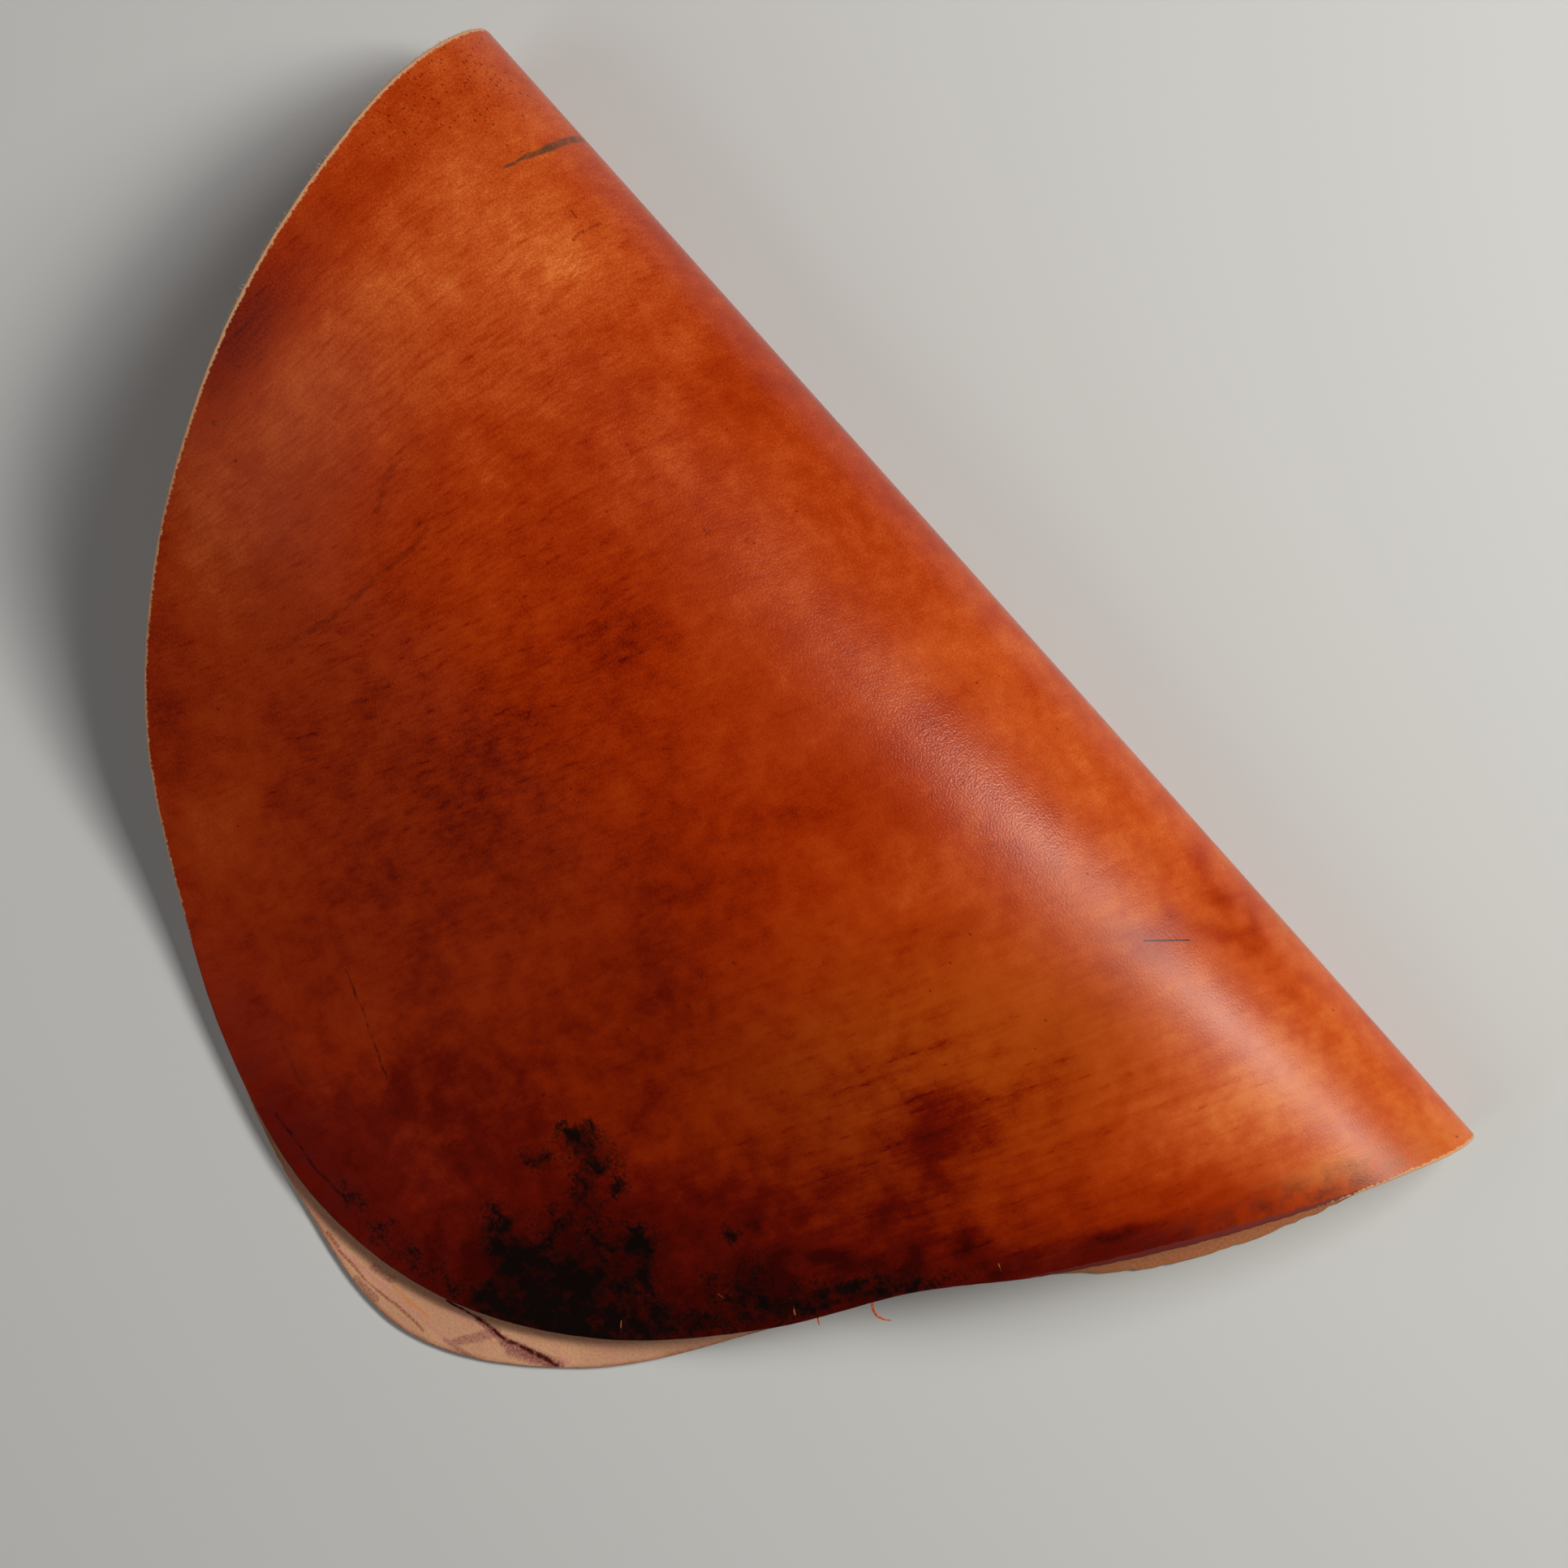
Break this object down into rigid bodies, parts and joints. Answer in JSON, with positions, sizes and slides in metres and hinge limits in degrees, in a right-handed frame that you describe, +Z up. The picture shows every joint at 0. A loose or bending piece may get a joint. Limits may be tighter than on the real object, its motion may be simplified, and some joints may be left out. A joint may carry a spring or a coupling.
{
  "type": "folded shell cordovan leather",
  "caption": "One oval of thick polished cordovan leather, folded over once with the grain side out, lying on a flat surface.",
  "frame": {"origin": "centre of the bounding box on the surface the leather lies on", "axes": "+X along the fold toward its low end, +Y out of the fold, +Z up"},
  "size_m": [0.4612, 0.2932, 0.078],
  "materials": {
    "leather": "polished"
  },
  "bodies": {
    "root": {"leather_shell": "leather"}
  },
  "joints": []
}
